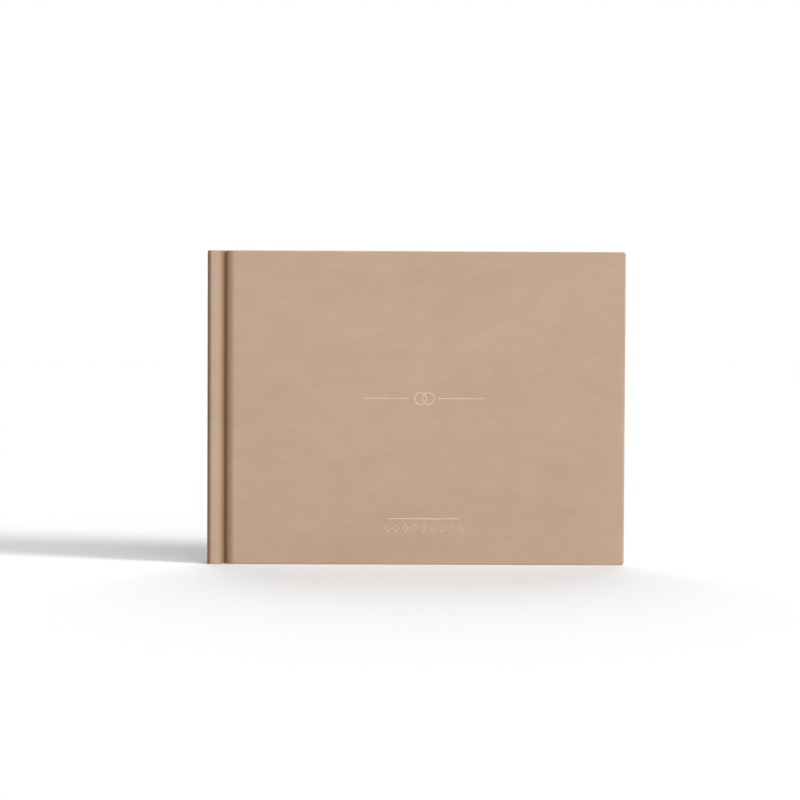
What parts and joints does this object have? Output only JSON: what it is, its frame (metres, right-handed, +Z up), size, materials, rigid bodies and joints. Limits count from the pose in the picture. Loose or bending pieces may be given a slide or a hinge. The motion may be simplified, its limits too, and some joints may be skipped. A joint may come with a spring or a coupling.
{
  "type": "guest book",
  "caption": "Landscape hardcover guest book in suede-napped cloth with stamped foil trim, hinged covers with pressed joints and a sewn block of blank pages that turn with them.",
  "frame": {"origin": "middle of the closed book's footprint, on the surface it stands on", "axes": "+X from the spine to the fore-edge, -Y the front cover's outward direction, +Z up from tail to head"},
  "size_m": [0.288, 0.025, 0.216],
  "materials": {
    "suede_cloth": "matte suede-napped binding cloth, warm beige",
    "greyboard": "raw grey binder's board",
    "infill_card": "plain card",
    "endpaper": "uncoated cream endpaper",
    "page_paper": "uncoated heavy writing paper",
    "gold_foil": "satin pale gold stamping foil",
    "liner_paper": "kraft paper",
    "mull_cloth": "open-weave gauze set in glue",
    "linen_thread": "waxed linen thread",
    "band_cloth": "woven headband with a corded bead"
  },
  "bodies": {
    "spine": {"spine_covering": "suede_cloth", "spine_board": "greyboard", "front_hinge_strip": "greyboard", "back_hinge_strip": "greyboard", "spine_liner": "liner_paper", "mull": "mull_cloth", "sewing_thread": "linen_thread", "head_band": "band_cloth", "tail_band": "band_cloth", "front_endpaper_fold": "endpaper", "back_endpaper_fold": "endpaper", "section_1_fold": "page_paper", "section_2_fold": "page_paper", "section_3_fold": "page_paper", "section_4_fold": "page_paper", "section_5_fold": "page_paper", "section_6_fold": "page_paper", "section_7_fold": "page_paper", "section_8_fold": "page_paper"},
    "front_cover": {"front_covering": "suede_cloth", "front_board": "greyboard", "front_infill": "infill_card", "front_pastedown": "endpaper", "title_foil": "gold_foil", "rule_foil": "gold_foil", "lozenge_foil": "gold_foil"},
    "back_cover": {"back_covering": "suede_cloth", "back_board": "greyboard", "back_infill": "infill_card", "back_pastedown": "endpaper"},
    "front_flyleaf": {"front_flyleaf": "endpaper"},
    "back_flyleaf": {"back_flyleaf": "endpaper"},
    "section_1": {"section_1": "page_paper"},
    "section_2": {"section_2": "page_paper"},
    "section_3": {"section_3": "page_paper"},
    "section_4": {"section_4": "page_paper"},
    "section_5": {"section_5": "page_paper"},
    "section_6": {"section_6": "page_paper"},
    "section_7": {"section_7": "page_paper"},
    "section_8": {"section_8": "page_paper"}
  },
  "joints": [
    {"name": "front_cover_hinge", "type": "hinge", "parent": "spine", "child": "front_cover", "pos_m": [-0.1314, -0.0128, 0.108], "axis": [0, 0, -1], "range_deg": [0, 176]},
    {"name": "back_cover_hinge", "type": "hinge", "parent": "spine", "child": "back_cover", "pos_m": [-0.1314, 0.0128, 0.108], "axis": [0, 0, 1], "range_deg": [0, 176]},
    {"name": "front_flyleaf_turn", "type": "hinge", "parent": "spine", "child": "front_flyleaf", "pos_m": [-0.1314, -0.0128, 0.108], "axis": [0, 0, -1], "range_deg": [0, 173.9]},
    {"name": "section_1_turn", "type": "hinge", "parent": "spine", "child": "section_1", "pos_m": [-0.1314, -0.0128, 0.108], "axis": [0, 0, -1], "range_deg": [0, 170.3]},
    {"name": "section_2_turn", "type": "hinge", "parent": "spine", "child": "section_2", "pos_m": [-0.1314, -0.0128, 0.108], "axis": [0, 0, -1], "range_deg": [0, 165.9]},
    {"name": "section_3_turn", "type": "hinge", "parent": "spine", "child": "section_3", "pos_m": [-0.1314, -0.0128, 0.108], "axis": [0, 0, -1], "range_deg": [0, 160.7]},
    {"name": "section_4_turn", "type": "hinge", "parent": "spine", "child": "section_4", "pos_m": [-0.1314, -0.0128, 0.108], "axis": [0, 0, -1], "range_deg": [0, 154.5]},
    {"name": "section_5_turn", "type": "hinge", "parent": "spine", "child": "section_5", "pos_m": [-0.1314, 0.0128, 0.108], "axis": [0, 0, 1], "range_deg": [0, 154.5]},
    {"name": "section_6_turn", "type": "hinge", "parent": "spine", "child": "section_6", "pos_m": [-0.1314, 0.0128, 0.108], "axis": [0, 0, 1], "range_deg": [0, 160.7]},
    {"name": "section_7_turn", "type": "hinge", "parent": "spine", "child": "section_7", "pos_m": [-0.1314, 0.0128, 0.108], "axis": [0, 0, 1], "range_deg": [0, 165.9]},
    {"name": "section_8_turn", "type": "hinge", "parent": "spine", "child": "section_8", "pos_m": [-0.1314, 0.0128, 0.108], "axis": [0, 0, 1], "range_deg": [0, 170.3]},
    {"name": "back_flyleaf_turn", "type": "hinge", "parent": "spine", "child": "back_flyleaf", "pos_m": [-0.1314, 0.0128, 0.108], "axis": [0, 0, 1], "range_deg": [0, 173.9]}
  ],
  "couplings": [
    {"joint": "front_flyleaf_turn", "follows": "front_cover_hinge", "ratio": 0.985},
    {"joint": "section_1_turn", "follows": "front_cover_hinge", "ratio": 0.965},
    {"joint": "section_2_turn", "follows": "front_cover_hinge", "ratio": 0.94},
    {"joint": "section_3_turn", "follows": "front_cover_hinge", "ratio": 0.91},
    {"joint": "section_4_turn", "follows": "front_cover_hinge", "ratio": 0.875},
    {"joint": "section_5_turn", "follows": "back_cover_hinge", "ratio": 0.875},
    {"joint": "section_6_turn", "follows": "back_cover_hinge", "ratio": 0.91},
    {"joint": "section_7_turn", "follows": "back_cover_hinge", "ratio": 0.94},
    {"joint": "section_8_turn", "follows": "back_cover_hinge", "ratio": 0.965},
    {"joint": "back_flyleaf_turn", "follows": "back_cover_hinge", "ratio": 0.985}
  ]
}
